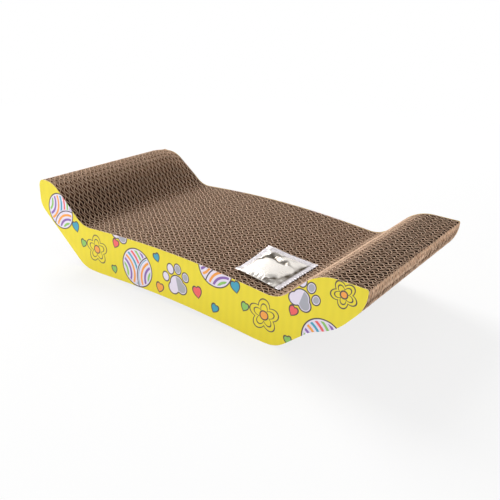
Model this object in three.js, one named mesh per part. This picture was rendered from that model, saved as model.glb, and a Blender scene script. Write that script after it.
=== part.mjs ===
// Lounge-shaped corrugated cardboard cat scratcher with a loose catnip sachet. Millimetres, +Z up.
// X runs along the lounge from its round bolster to its flat-topped one, Y across the boards.
// The origin is on the floor, midway along and across.
import * as THREE from 'three';
import { mergeVertices } from 'three/addons/utils/BufferGeometryUtils.js';

// Lounge, overall
const length = 430;
const width = 208.7;
const boardCount = 33;
const printThickness = 0.4;

// Corrugated board: a flat liner that carries upright flutes, open at their ends
const linerThickness = 0.9;
const flutePitch = 8.3;
const fluteShift = 0.4;

// Side outline, as the heights and places of its corners before they are rounded
const bolsterHeight = 92.1;
const bolsterTopLength = 25.7;
const bolsterSlopeRun = 47.6;
const seatHeight = 51;
const seatRise = 10.4;
const headrestHeight = 90;
const headrestTopLength = 47.7;
const headrestSlopeRun = 39.3;
const footLength = 25.4;
const archRise = 6.9;
const noseHeight = 32.4;
const endFaceHeight = 17;
const heelSetback = 26.7;
const heelDrop = 48.8;
const undersideSetback = 51.8;
const undersideDrop = 59.7;

// Radii that round those corners
const noseTopRadius = 9;
const noseBottomRadius = 18;
const bolsterRadius = 32;
const valleyRadius = 30;
const humpRadius = 1250;
const headrestRadius = 46;
const endTopRadius = 2;
const endFaceRadius = 38;
const heelRadius = 60;
const undersideRadius = 31;
const footRadius = 32;
const footInnerRadius = 60;

// How far a facet may leave the true arc
const chordError = 0.35;

// Catnip sachet, lying loose on the seat
const sachetWidth = 60.5;
const sachetDepth = 67.5;
const sachetPuff = 7;
const sachetSeal = 5;
const sachetTurn = THREE.MathUtils.degToRad(3);
const sachetFromHeadrest = 124;
const sachetFromFront = 50.5;
const foilThickness = 0.3;
const sachetClearance = 0.3;
const sachetCells = 10;
const fillMarginCells = 2;

const bodyThickness = width - 2 * printThickness;
const boardThickness = bodyThickness / boardCount;
const frontY = -bodyThickness / 2;
const leftX = -length / 2;

function makeMaterial(color, roughness, metalness = 0) {
  return new THREE.MeshStandardMaterial({ color, roughness, metalness });
}

const boardMaterial = makeMaterial(0x9c7f6b, 0.95);
const printMaterial = makeMaterial(0xe8da40, 0.6);
const foilMaterial = makeMaterial(0xd9d6d0, 0.25, 0.9);
const catnipMaterial = makeMaterial(0x6c7446, 1);

// One corner of the outline: x from the left end, z above the floor, and its rounding radius
function corner(x, z, radius) {
  return { x, z, radius };
}

const bolsterValleyX = bolsterTopLength + bolsterSlopeRun;
const headrestCrestX = length - headrestTopLength;
const headrestValleyX = headrestCrestX - headrestSlopeRun;
const middleX = (bolsterValleyX + headrestValleyX) / 2;

// Top edge from left to right, then the end face and the underside from right to left
const topCorners = [
  corner(0, bolsterHeight, noseTopRadius),
  corner(bolsterTopLength, bolsterHeight, bolsterRadius),
  corner(bolsterValleyX, seatHeight, valleyRadius),
  corner(middleX, seatHeight + seatRise, humpRadius),
  corner(headrestValleyX, seatHeight, valleyRadius),
  corner(headrestCrestX, headrestHeight, headrestRadius),
  corner(length, headrestHeight, endTopRadius),
];
const bottomCorners = [
  corner(length, headrestHeight - endFaceHeight, endFaceRadius),
  corner(length - heelSetback, headrestHeight - heelDrop, heelRadius),
  corner(length - undersideSetback, headrestHeight - undersideDrop, undersideRadius),
  corner(headrestValleyX, 0, footRadius),
  corner(headrestValleyX - footLength, 0, footInnerRadius),
  corner(middleX, archRise, humpRadius),
  corner(bolsterValleyX + footLength, 0, footInnerRadius),
  corner(bolsterValleyX, 0, footRadius),
  corner(0, bolsterHeight - noseHeight, noseBottomRadius),
];

// Rounds every corner of a closed outline with a true arc, cut into chords. Where two arcs
// would meet on one straight run, both are drawn in alike.
function roundCorners(corners) {
  const points = corners.map((here) => new THREE.Vector2(here.x, here.z));
  const sides = points.map((point, i) => points[(i + 1) % points.length].clone().sub(point));
  const halfAngles = sides.map((side, i) => Math.abs(sides.at(i - 1).clone().negate().angleTo(side)) / 2);
  const reaches = corners.map((here, i) => here.radius / Math.tan(halfAngles[i]));
  const fit = (i) => Math.min(1, 0.98 * sides.at(i).length() / (reaches.at(i) + reaches[(i + 1) % reaches.length]));
  return points.map((point, i) => {
    const reach = reaches[i] * Math.min(fit(i - 1), fit(i));
    const radius = reach * Math.tan(halfAngles[i]);
    const back = sides.at(i - 1).clone().negate().normalize();
    const ahead = sides[i].clone().normalize();
    const start = point.clone().addScaledVector(back, reach);
    const bisector = back.clone().add(ahead).normalize();
    const centre = point.clone().addScaledVector(bisector, radius / Math.sin(halfAngles[i]));
    const turn = (Math.PI - 2 * halfAngles[i]) * Math.sign(ahead.cross(back));
    const chordTurn = 2 * Math.acos(1 - Math.min(chordError / radius, 0.5));
    const chords = Math.ceil(Math.abs(turn) / chordTurn);
    const arc = [];
    for (let k = 0; k <= chords; k++) {
      arc.push(start.clone().rotateAround(centre, turn * k / chords));
    }
    return arc;
  });
}

const arcs = roundCorners([...topCorners, ...bottomCorners]);
const topEdge = arcs.slice(0, topCorners.length).flat();
const bottomEdge = arcs.slice(topCorners.length).flat().reverse();

// Height of an edge of the outline at x, read along its chords
function heightAt(edge, x) {
  const i = Math.max(1, edge.findIndex((p) => p.x >= x));
  const a = edge[i - 1];
  const b = edge[i];
  return THREE.MathUtils.lerp(a.y, b.y, THREE.MathUtils.clamp((x - a.x) / (b.x - a.x || 1), 0, 1));
}

// A closed mesh from loose triangles, its shared corners merged
function closedGeometry(triangles) {
  const geometry = new THREE.BufferGeometry();
  geometry.setAttribute('position', new THREE.Float32BufferAttribute(triangles.flat(2), 3));
  const merged = mergeVertices(geometry, 1e-4);
  merged.computeVertexNormals();
  return merged;
}

function makeMesh(name, geometry, material) {
  const mesh = new THREE.Mesh(geometry, material);
  mesh.name = name;
  return mesh;
}

// Fills the strip between two edges that run the same way along X
function bridge(near, far) {
  const triangles = [];
  let i = 0;
  let j = 0;
  while (i < near.length - 1 || j < far.length - 1) {
    const stepNear = j === far.length - 1 || (i < near.length - 1 && near[i + 1][0] <= far[j + 1][0]);
    const next = stepNear ? near[i + 1] : far[j + 1];
    triangles.push([near[i], next, far[j]]);
    if (stepNear) {
      i += 1;
    } else {
      j += 1;
    }
  }
  return triangles;
}

// Closes a solid between four long edges: lower and upper at the front, then at the back
function loft(frontLow, frontHigh, backLow, backHigh) {
  const ring = [frontLow, frontHigh, backHigh, backLow];
  const sides = ring.flatMap((edge, i) => bridge(edge, ring[(i + 1) % ring.length]));
  const [a, b, c, d] = ring.map((edge) => edge[0]);
  const [p, q, r, s] = ring.map((edge) => edge.at(-1));
  return closedGeometry([...sides, [a, b, c], [a, c, d], [p, r, q], [p, s, r]]);
}

// A flat sheet with the side outline, its near face at y
function sheetGeometry(y, thickness) {
  const edgeAt = (edge, depth) => edge.map((p) => [p.x + leftX, depth, p.y]);
  const near = [edgeAt(bottomEdge, y), edgeAt(topEdge, y)];
  const far = [edgeAt(bottomEdge, y + thickness), edgeAt(topEdge, y + thickness)];
  return loft(...near, ...far);
}

// A board: its flat liner at y, and behind it flutes that fold between the liner and the next board
function boardGeometry(y, shift) {
  const foldLength = flutePitch / 2;
  const firstFold = Math.ceil(shift / foldLength);
  const lastFold = Math.floor((shift + length) / foldLength);
  const folds = [0];
  for (let k = firstFold; k <= lastFold; k++) {
    const x = k * foldLength - shift;
    if (x > foldLength / 8 && x < length - foldLength / 8) {
      folds.push(x);
    }
  }
  folds.push(length);
  const rise = (x) => 1 - Math.abs(1 - 2 * THREE.MathUtils.euclideanModulo((x + shift) / flutePitch, 1));
  const backY = (x) => y + linerThickness + (boardThickness - linerThickness) * rise(x);
  const frontEdge = (edge) => edge.map((p) => [p.x + leftX, y, p.y]);
  const backEdge = (edge) => folds.map((x) => [x + leftX, backY(x), heightAt(edge, x)]);
  return loft(frontEdge(bottomEdge), frontEdge(topEdge), backEdge(bottomEdge), backEdge(topEdge));
}

// The boards stand side by side, each cut a little further along its flutes than the last
function makeStack() {
  const stack = new THREE.Group();
  for (let i = 0; i < boardCount; i++) {
    const name = `board_${String(i + 1).padStart(2, '0')}`;
    const shift = (i * fluteShift) % flutePitch;
    stack.add(makeMesh(name, boardGeometry(frontY + i * boardThickness, shift), boardMaterial));
  }
  const frontPrint = sheetGeometry(frontY - printThickness, printThickness);
  const backPrint = sheetGeometry(frontY + bodyThickness, printThickness);
  stack.add(makeMesh('print_liner_front', frontPrint, printMaterial));
  stack.add(makeMesh('print_liner_back', backPrint, printMaterial));
  return stack;
}

// Place of a point of the sachet: u and v run from -1 to 1 across it, height is above the seat
function sachetPoint(u, v, height) {
  const pull = 0.03;
  const across = u * sachetWidth / 2 * (1 - pull * (1 - v * v));
  const along = v * sachetDepth / 2 * (1 - pull * (1 - u * u));
  const place = new THREE.Vector2(across, along).rotateAround(new THREE.Vector2(), sachetTurn);
  const x = length - sachetFromHeadrest + place.x;
  const y = frontY - printThickness + sachetFromFront + place.y;
  return [x + leftX, y, heightAt(topEdge, x) + sachetClearance + height];
}

// Swell of the filled pouch above its flat sealed border, from 0 to 1
function swell(u, v) {
  const inner = (t, size) => Math.max(0, 1 - (Math.abs(t) * size / (size - 2 * sachetSeal)) ** 4);
  return Math.sqrt(inner(u, sachetWidth) * inner(v, sachetDepth));
}

// A sheet or fill between two heights over the sachet, which leaves out margin cells at its rim
function sachetLayer(lower, upper, margin) {
  const first = margin;
  const last = sachetCells - margin;
  const at = (k) => 2 * k / sachetCells - 1;
  const low = (i, j) => sachetPoint(at(i), at(j), lower(at(i), at(j)));
  const high = (i, j) => sachetPoint(at(i), at(j), upper(at(i), at(j)));
  const triangles = [];
  const quad = (a, b, c, d) => triangles.push([a, b, c], [a, c, d]);
  for (let i = first; i < last; i++) {
    for (let j = first; j < last; j++) {
      quad(high(i, j), high(i + 1, j), high(i + 1, j + 1), high(i, j + 1));
      quad(low(i, j), low(i, j + 1), low(i + 1, j + 1), low(i + 1, j));
    }
    quad(low(i, first), low(i + 1, first), high(i + 1, first), high(i, first));
    quad(high(i, last), high(i + 1, last), low(i + 1, last), low(i, last));
    quad(low(last, i), low(last, i + 1), high(last, i + 1), high(last, i));
    quad(high(first, i), high(first, i + 1), low(first, i + 1), low(first, i));
  }
  return closedGeometry(triangles);
}

// Two foil webs, sealed round the edge, with the dried leaves between them
function makeSachet() {
  const sachet = new THREE.Group();
  const inside = foilThickness + sachetClearance;
  const frontBottom = (u, v) => inside + sachetPuff * swell(u, v);
  const backFoil = sachetLayer(() => 0, () => foilThickness, 0);
  const frontFoil = sachetLayer(frontBottom, (u, v) => frontBottom(u, v) + foilThickness, 0);
  const catnip = sachetLayer(() => inside, (u, v) => frontBottom(u, v) - sachetClearance, fillMarginCells);
  sachet.add(makeMesh('sachet_back_foil', backFoil, foilMaterial));
  sachet.add(makeMesh('sachet_front_foil', frontFoil, foilMaterial));
  sachet.add(makeMesh('catnip', catnip, catnipMaterial));
  return sachet;
}

const scratcher = new THREE.Group();
scratcher.add(makeStack(), makeSachet());

export default scratcher;
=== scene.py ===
"""Cat scratcher lounge: fluted boards on edge between two printed liners, with a foil sachet on its seat."""

import math
from functools import reduce

import bpy
import numpy as np
from mathutils import Euler, Matrix, Vector, noise


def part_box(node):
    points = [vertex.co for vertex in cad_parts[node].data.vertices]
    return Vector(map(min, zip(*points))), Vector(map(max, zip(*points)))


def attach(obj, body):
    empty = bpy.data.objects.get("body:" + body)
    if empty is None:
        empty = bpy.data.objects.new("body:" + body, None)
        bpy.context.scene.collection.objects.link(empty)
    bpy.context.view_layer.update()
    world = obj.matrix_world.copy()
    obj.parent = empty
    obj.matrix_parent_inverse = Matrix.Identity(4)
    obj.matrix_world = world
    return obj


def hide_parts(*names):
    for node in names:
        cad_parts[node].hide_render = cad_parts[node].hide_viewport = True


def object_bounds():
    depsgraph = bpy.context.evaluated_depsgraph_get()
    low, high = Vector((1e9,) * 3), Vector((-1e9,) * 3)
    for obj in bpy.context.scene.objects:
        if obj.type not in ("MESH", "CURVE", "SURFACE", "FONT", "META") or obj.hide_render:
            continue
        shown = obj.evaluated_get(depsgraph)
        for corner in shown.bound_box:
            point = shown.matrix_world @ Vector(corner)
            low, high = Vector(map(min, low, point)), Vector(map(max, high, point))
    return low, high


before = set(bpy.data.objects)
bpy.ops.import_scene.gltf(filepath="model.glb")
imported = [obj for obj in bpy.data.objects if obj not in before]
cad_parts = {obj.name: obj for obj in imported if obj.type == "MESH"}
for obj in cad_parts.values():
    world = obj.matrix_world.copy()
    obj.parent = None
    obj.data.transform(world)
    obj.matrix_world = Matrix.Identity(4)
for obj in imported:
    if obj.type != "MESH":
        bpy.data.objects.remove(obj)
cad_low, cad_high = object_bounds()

bl_info = {
    "name": "Cat scratcher lounge",
    "version": (1, 0, 0),
    "blender": (4, 5, 0),
    "location": "View3D > Sidebar > Lounge",
    "description": "Builds a corrugated cat scratcher with printed sides and a foil catnip sachet",
    "category": "Add Mesh",
}

BOARD_NODES = sorted(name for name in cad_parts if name.startswith("board_"))
FLAT_PLACE = "flat_place"
# Where the foil gets painted shade and reflection in its creases.
CREASE_SHADE = "crease_shade"
# From 1 at a paper's cut edges to 0 inside it: pale fibres near 1, painted shade near 0.
SAWN_AND_SHADE = "sawn_and_shade"


# Values that a user would change


def size(name, default, description):
    """A length in metres."""
    return bpy.props.FloatProperty(
        name=name, description=description, default=default, min=0.0, precision=4, unit="LENGTH"
    )


def factor(name, default, description, least=0.0, most=1.0):
    """A part of a whole."""
    return bpy.props.FloatProperty(
        name=name, description=description, default=default, min=least, max=most, subtype="FACTOR"
    )


def turning(name, degrees, description):
    """An angle, written in degrees."""
    return bpy.props.FloatProperty(
        name=name, description=description, default=math.radians(degrees), subtype="ANGLE", unit="ROTATION"
    )


def spot(name, default, description):
    """A point of the scene in metres."""
    return bpy.props.FloatVectorProperty(
        name=name, description=description, default=default, subtype="XYZ", unit="LENGTH"
    )


def watts(name, default, description):
    """How much light a lamp gives."""
    return bpy.props.FloatProperty(
        name=name, description=description, default=default, min=0.0, unit="POWER"
    )


def whole_number(name, default, description):
    return bpy.props.IntProperty(name=name, description=description, default=default, min=0)


def linear(value):
    """One 0 to 255 screen value as linear light."""
    share = value / 255
    return share / 12.92 if share <= 0.04045 else ((share + 0.055) / 1.055) ** 2.4


def colour(name, screen, description):
    """A colour that is written as its 0 to 255 screen values."""
    return bpy.props.FloatVectorProperty(
        name=name, description=description, subtype="COLOR", min=0.0, max=1.0,
        default=[linear(value) for value in screen],
    )


class LoungeOutline(bpy.types.PropertyGroup):
    """Side view of the lounge: its corners before rounding, and the radii that round them."""

    length: size("Length", cad_high.x - cad_low.x, "From the bolster's nose to the headrest's end")
    bolster_height: size("Bolster height", cad_high.z, "Top of the round bolster above the floor")
    bolster_top: size("Bolster top", 0.0257, "Flat length on top of the bolster")
    bolster_slope: size("Bolster slope", 0.0476, "Run of the slope from the bolster to the seat")
    seat_height: size("Seat height", 0.051, "Seat above the floor at its two valleys")
    seat_rise: size("Seat rise", 0.0104, "How far the corner of the seat's hump stands above them")
    headrest_height: size("Headrest height", 0.090, "Top of the headrest above the floor")
    headrest_top: size("Headrest top", 0.0477, "Flat length on top of the headrest")
    headrest_slope: size("Headrest slope", 0.0393, "Run of the slope from the seat to the headrest")
    foot_length: size("Foot length", 0.0254, "Each foot's length on the floor before rounding")
    arch_rise: size("Arch rise", 0.0069, "Corner of the arch between the feet above the floor")
    nose_height: size("Nose height", 0.0324, "Height of the bolster's nose")
    end_face_height: size("End face height", 0.017, "Height of the headrest's upright end")
    heel_setback: size("Heel setback", 0.0267, "Heel corner back from the headrest's end")
    heel_drop: size("Heel drop", 0.0488, "Heel corner below the headrest's top")
    underside_setback: size("Underside setback", 0.0518, "Underside corner back from the end")
    underside_drop: size("Underside drop", 0.0597, "Underside corner below the headrest's top")
    nose_top_radius: size("Nose top radius", 0.009, "Rounds the bolster's nose above")
    nose_bottom_radius: size("Nose bottom radius", 0.018, "Rounds the bolster's nose below")
    bolster_radius: size("Bolster radius", 0.032, "Rounds the bolster into its slope")
    valley_radius: size("Valley radius", 0.030, "Rounds the slopes into the seat")
    hump_radius: size("Hump radius", 1.25, "Rounds the seat's hump and the arch")
    headrest_radius: size("Headrest radius", 0.046, "Rounds the slope into the headrest's top")
    end_top_radius: size("End top radius", 0.002, "Rounds the headrest's upper edge")
    end_face_radius: size("End face radius", 0.038, "Rounds the end face into the heel")
    heel_radius: size("Heel radius", 0.060, "Rounds the heel")
    underside_radius: size("Underside radius", 0.031, "Rounds the underside")
    foot_radius: size("Foot radius", 0.032, "Rounds each foot's outer edge")
    foot_inner_radius: size("Foot inner radius", 0.060, "Rounds each foot into the arch")
    chord_error: size("Chord error", 0.00004, "How far a facet may leave the true arc")
    pressed_corner: size("Pressed corner", 0.0042, "How far the bolster's far corner was pressed down")
    pressed_width: size("Pressed width", 0.025, "How far across the boards that dent reaches")


class LoungeCard(bpy.types.PropertyGroup):
    """Double-wall corrugated board and the printed sheets outside it."""

    print_thickness: size("Print thickness", 0.0004, "Printed sheet on each side")
    liner_thickness: size("Liner thickness", 0.0003, "Flat papers of a board")
    flute_thickness: size("Flute thickness", 0.0006, "Folded papers of a board")
    big_flute_pitch: size("Big flute pitch", 0.0083, "From one big fold to the next")
    small_flute_pitch: size("Small flute pitch", 0.0064, "From one small fold to the next")
    flute_shift: size("Flute shift", 0.0002, "How far the folds of each board are shifted on the last one")
    flute_stray: size("Flute stray", 0.0009, "How far a board's folds stray from that shift")
    ragged: size("Ragged cut", 0.0003, "How far cut paper edges stand up or fall short")
    liner_drop: size("Liner drop", 0.0008, "How far the saw left the flat papers below the folded ones")
    worn_depth: size("Worn depth", 0.002, "How far in from its cut edge each paper is paler")
    under_depth: size("Under depth", 0.006, "How far in from its lower edge a paper is paler")
    closed_end: size("Closed end", 0.0013, "How far in from a board's ends its papers are paler")
    ripple: size("Washboard", 0.0001, "How deep the flutes show through the printed sheets")
    big_flute_share: factor("Big flute share", 0.7, "Part of the folded height for big folds", 0.3, 0.9)
    lean: factor("Lean", 0.3, "Part of a big fold that its steeper flank takes", 0.1, 0.9)
    unevenness: factor("Unevenness", 0.12, "How far the folds drift along a board, in folds")
    least_swing: factor("Least swing", 0.93, "Height of the flattest folds against the tallest")
    seed: whole_number("Seed", 7, "Starts the boards' small differences")


class LoungeSachet(bpy.types.PropertyGroup):
    """Foil sachet that lies loose on the seat."""

    width: size("Width", 0.0605, "Along the lounge")
    depth: size("Depth", 0.0675, "Across the boards")
    left_seal: size("Left seal", 0.0055, "Width of the pressed seal at the left")
    right_seal: size("Right seal", 0.0068, "Width of the pressed seal at the right")
    back_seal: size("Back seal", 0.0085, "Width of the pressed seal at the back")
    front_fold: size("Front fold", 0.0006, "Width of the creased fold in front")
    puff: size("Puff", 0.0068, "How high the filled middle may stand")
    web_thickness: size("Web thickness", 0.0001, "One layer of foil")
    pressed_thickness: size("Pressed thickness", 0.0003, "Two layers with the air between them")
    clearance: size("Clearance", 0.0004, "Air between the foil and the boards")
    cell: size("Cell", 0.0013, "Mesh step of the pouch before it is subdivided")
    crinkle: size("Crinkle", 0.00035, "Depth of the small crumples")
    tooth: size("Tooth", 0.0042, "Pitch of the pinked edge")
    tooth_depth: size("Tooth depth", 0.0016, "Depth of the pinked edge")
    front_lift: size("Front lift", 0.0018, "How far the front edge and back corner curl up off the seat")
    curl: size("Curl", 0.011, "How far back from the front edge the curl starts")
    taper: size("Taper", 0.003, "How far each side is drawn in at the front")
    long_corner: size("Long corner", 0.0045, "How far the right seal reaches past the pocket in front")
    flake: size("Flake", 0.0036, "Length of a dried leaf flake")
    flake_count: whole_number("Flakes", 420, "How many flakes lie on the heap")
    spare: factor("Spare foil", 0.05, "How much longer the foil is than the flat pouch", 0.0, 0.3)
    pressure: bpy.props.FloatProperty(
        name="Pressure", description="Push of the filling on the foil while it is shaped", default=14.0
    )
    seed: whole_number("Seed", 3, "Starts the heap's flakes")
    turn: turning("Turn", 3, "How far it is turned on the seat")


class LoungeColours(bpy.types.PropertyGroup):
    """Colours of the papers, inks, foil and leaf."""

    kraft: colour("Kraft", (136, 99, 76), "Faces of the brown papers")
    kraft_dark: colour("Dark kraft", (106, 74, 55), "Darker fibres of the brown papers")
    # Painted shade for paper deep in the board, where the holes are shaded.
    kraft_painted_shade: colour("Deep kraft", (52, 34, 25), "Inner faces of the papers, out of the light")
    cut: colour("Cut edge", (248, 218, 190), "Sawn edges of the papers")
    cut_dark: colour("Dark cut edge", (206, 170, 141), "Fibres that the saw pressed flat")
    print_edge: colour("Print edge", (236, 202, 180), "Cut edge of the printed sheets")
    ground: colour("Ground", (236, 217, 50), "Yellow ground of the print")
    pale_ink: colour("Pale ink", (228, 219, 236), "Lilac white of the print")
    grey_ink: colour("Grey ink", (168, 168, 178), "Grey of the print")
    line_ink: colour("Line ink", (74, 62, 66), "Outlines of the print")
    teal_ink: colour("Teal ink", (64, 158, 186), "First accent of the print")
    green_ink: colour("Green ink", (138, 192, 100), "Second accent of the print")
    coral_ink: colour("Coral ink", (236, 98, 98), "Third accent of the print")
    orange_ink: colour("Orange ink", (242, 160, 72), "Fourth accent of the print")
    purple_ink: colour("Purple ink", (136, 98, 172), "Fifth accent of the print")
    foil: colour("Foil", (244, 238, 228), "Bare aluminium foil")
    foil_seal: colour("Pressed foil", (226, 220, 224), "Foil on the seals")
    # Painted shade and reflection in the foil's creases and beside its seals, and the colour of scuffs on
    # the seals.
    foil_shade_and_scuff: colour("Creased foil", (72, 60, 44), "Foil deep in its creases")
    leaf: colour("Leaf", (108, 116, 70), "Dried catnip")
    leaf_dark: colour("Dark leaf", (70, 66, 38), "Stalks and crumbs of the catnip")
    floor: colour("Floor", (235, 235, 235), "Studio floor")


class LoungeStudio(bpy.types.PropertyGroup):
    """Camera, lamps and floor."""

    camera_place: spot("Camera place", (0.4091, -0.5396, 0.3259), "Where the camera stands")
    camera_yaw: turning("Camera yaw", 35.9, "Turn to the left of straight back")
    camera_pitch: turning("Camera pitch", 23.67, "Downward tilt")
    camera_roll: turning("Camera roll", 2.25, "Turn about the line of sight")
    lens: bpy.props.FloatProperty(
        name="Lens", description="Focal length in millimetres on a 36 mm sensor", default=46.27,
        min=1.0, unit="CAMERA",
    )
    key_place: spot("Key place", (-2.7, 1.2, 2.1), "Middle of the softbox overhead")
    key_size: size("Key size", 2.0, "Side of the softbox overhead")
    key_power: watts("Key power", 140.0, "Light of the softbox overhead")
    front_place: spot("Front place", (-0.7, -1.7, 0.13), "Middle of the low strip light in front")
    strip_length: size("Strip length", 1.2, "Length of each low strip light")
    strip_height: size("Strip height", 0.24, "Height of each low strip light")
    front_power: watts("Front power", 16.0, "Light of the strip in front")
    side_place: spot("Side place", (2.4, 0.5, 0.06), "Middle of the strip light beyond the headrest")
    side_power: watts("Side power", 28.0, "Light of the strip beyond the headrest")
    fill_strength: factor("Fill strength", 0.38, "Light from all round, where 1 is white")
    ceiling: factor("Ceiling", 0.5, "How bright metal sees the ceiling, where 1 is white")
    shadow_depth: factor("Shadow depth", 0.2, "How strongly the floor shows the lounge's shadow")
    floor_radius: size("Floor radius", 12.0, "How far the floor reaches")
    shadow_radius: size("Shadow radius", 0.55, "How far from the lounge the floor shows its shadow")


# Side outline


def outline_corners(shape):
    """Corners as (along, up, radius): the top edge from the left, then the underside from the right."""
    left_valley = shape.bolster_top + shape.bolster_slope
    crest = shape.length - shape.headrest_top
    right_valley = crest - shape.headrest_slope
    middle = (left_valley + right_valley) / 2
    top = [
        (0, shape.bolster_height, shape.nose_top_radius),
        (shape.bolster_top, shape.bolster_height, shape.bolster_radius),
        (left_valley, shape.seat_height, shape.valley_radius),
        (middle, shape.seat_height + shape.seat_rise, shape.hump_radius),
        (right_valley, shape.seat_height, shape.valley_radius),
        (crest, shape.headrest_height, shape.headrest_radius),
        (shape.length, shape.headrest_height, shape.end_top_radius),
    ]
    heel = (shape.length - shape.heel_setback, shape.headrest_height - shape.heel_drop)
    underside = (shape.length - shape.underside_setback, shape.headrest_height - shape.underside_drop)
    bottom = [
        (shape.length, shape.headrest_height - shape.end_face_height, shape.end_face_radius),
        (*heel, shape.heel_radius),
        (*underside, shape.underside_radius),
        (right_valley, 0, shape.foot_radius),
        (right_valley - shape.foot_length, 0, shape.foot_inner_radius),
        (middle, shape.arch_rise, shape.hump_radius),
        (left_valley + shape.foot_length, 0, shape.foot_inner_radius),
        (left_valley, 0, shape.foot_radius),
        (0, shape.bolster_height - shape.nose_height, shape.nose_bottom_radius),
    ]
    return top, bottom


def rounded_corner(corner, back, ahead, half_angle, reach, chord_error):
    """Points of the arc that rounds one corner, between its two straight runs."""
    radius = reach * math.tan(half_angle)
    start = corner + back * reach
    centre = corner + (back + ahead).normalized() * radius / math.sin(half_angle)
    way = 1 if ahead.x * back.y - ahead.y * back.x > 0 else -1
    turn = way * (math.pi - 2 * half_angle)
    chord_turn = 2 * math.acos(1 - min(chord_error / radius, 0.5))
    chords = math.ceil(abs(turn) / chord_turn)
    spoke = start - centre
    return [centre + Matrix.Rotation(turn * k / chords, 2) @ spoke for k in range(chords + 1)]


class Outline:
    """Heights of the lounge's top edge and underside at any place along it, from its left end."""

    def __init__(self, shape):
        top, bottom = outline_corners(shape)
        corners = top + bottom
        points = [Vector((along, up)) for along, up, _ in corners]
        sides = [points[(i + 1) % len(points)] - point for i, point in enumerate(points)]
        halves = [(-sides[i - 1]).angle(sides[i]) / 2 for i in range(len(sides))]
        reaches = [corner[2] / math.tan(half) for corner, half in zip(corners, halves)]
        curved_share = 0.98
        fits = [
            min(1, curved_share * side.length / (reaches[i] + reaches[(i + 1) % len(reaches)]))
            for i, side in enumerate(sides)
        ]
        arcs = [
            rounded_corner(
                point, -sides[i - 1].normalized(), sides[i].normalized(), halves[i],
                reaches[i] * min(fits[i - 1], fits[i]), shape.chord_error,
            )
            for i, point in enumerate(points)
        ]
        self.top = np.array([point for arc in arcs[: len(top)] for point in arc])
        self.bottom = np.array([point for arc in arcs[len(top):] for point in arc])[::-1]
        self.length = shape.length
        self.shape = shape
        self.dent = 0.0

    def press(self, across):
        """Sets the dent of the bolster's far corner for a paper at one place across the boards."""
        share = max(0, 1 - (cad_high.y - across) / self.shape.pressed_width)
        self.dent = self.shape.pressed_corner * share ** 1.5

    def top_at(self, along):
        start = self.shape.bolster_top
        end = start + 0.85 * self.shape.bolster_slope
        nose_end = 0.3 * start
        dented = smooth_step(along, 0, nose_end) * (1 - smooth_step(along, start, end))
        return np.interp(along, self.top[:, 0], self.top[:, 1]) - self.dent * dented

    def bottom_at(self, along):
        return np.interp(along, self.bottom[:, 0], self.bottom[:, 1])

    def stations(self, step):
        """Places along the lounge that follow both edges, no further apart than a step."""
        even = np.linspace(0, self.length, math.ceil(self.length / step) + 1)
        places = np.unique(np.concatenate([even, self.top[:, 0], self.bottom[:, 0]]).round(6))
        return np.clip(places, 0, self.length)


# Meshes


def deselect_all():
    bpy.ops.object.select_all(action="DESELECT")


def vertex_places(piece):
    places = np.empty(len(piece.data.vertices) * 3)
    piece.data.vertices.foreach_get("co", places)
    return places.reshape(-1, 3)


def move_vertices(piece, places):
    piece.data.vertices.foreach_set("co", places.ravel())
    piece.data.update()


def apply_modifier(piece, kind, **settings):
    """Adds one modifier to the selected piece and applies it."""
    modifier = piece.modifiers.new(kind.title(), kind)
    for name, value in settings.items():
        setattr(modifier, name, value)
    bpy.ops.object.modifier_apply(modifier=modifier.name)


def add_grid(columns, rows, name, materials):
    """A flat grid from 0 to 1 both ways, selected and active."""
    deselect_all()
    bpy.ops.mesh.primitive_grid_add(x_subdivisions=columns, y_subdivisions=rows, size=1)
    piece = bpy.context.object
    piece.name = name
    move_vertices(piece, vertex_places(piece) + (0.5, 0.5, 0))
    for material in materials:
        piece.data.materials.append(material)
    return piece


def upright_sheet(name, stations, heights, materials, thickness, across, sawn_and_shade=1.0):
    """A paper on edge along the lounge, through one height per row and one Y per station."""
    columns = len(stations) - 1
    rows = len(heights) - 1
    sheet = add_grid(columns, rows, name, materials)
    grid = vertex_places(sheet)
    column = np.rint(grid[:, 0] * columns).astype(int)
    row = np.rint(grid[:, 1] * rows).astype(int)
    up = np.array(heights)[row, column]
    move_vertices(sheet, np.column_stack([stations[column] + cad_low.x, across[column], up]))
    from_end = np.minimum(stations, stations[-1] - stations)[column]
    at_cut = np.where((row == 0) | (row == rows), sawn_and_shade, 0.0)
    at_cut[from_end < settings().card.closed_end] = 1
    # The attribute is 1 at cut edges, where paper is pale, and falls to 0 inside, where the board's material
    # paints shade.
    sheet.data.attributes.new(SAWN_AND_SHADE, "FLOAT", "POINT").data.foreach_set("value", at_cut)
    apply_modifier(sheet, "SOLIDIFY", thickness=thickness, offset=0, material_offset_rim=1)
    return sheet


def join_pieces(pieces, name):
    deselect_all()
    for piece in pieces:
        piece.select_set(True)
    bpy.context.view_layer.objects.active = pieces[0]
    if len(pieces) > 1:
        bpy.ops.object.join()
    joined = bpy.context.object
    joined.name = name
    joined.data.name = name
    return joined


def smooth_by_angle(piece, degrees):
    deselect_all()
    piece.select_set(True)
    bpy.context.view_layer.objects.active = piece
    bpy.ops.object.shade_smooth_by_angle(angle=math.radians(degrees))


def hand_over(piece, body, slot, *nodes):
    """Puts a finished piece on its body, in place of the CAD nodes that it stands for."""
    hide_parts(*nodes)
    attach(piece, body)


# Node trees


def feed(tree, socket, value):
    """Joins a socket to a term or another socket, or sets its plain value."""
    if isinstance(value, Term):
        tree.links.new(value.socket, socket)
    elif isinstance(value, bpy.types.NodeSocket):
        tree.links.new(value, socket)
    elif socket.type == "RGBA":
        socket.default_value = (*value[:3], 1)
    else:
        socket.default_value = value


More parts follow.
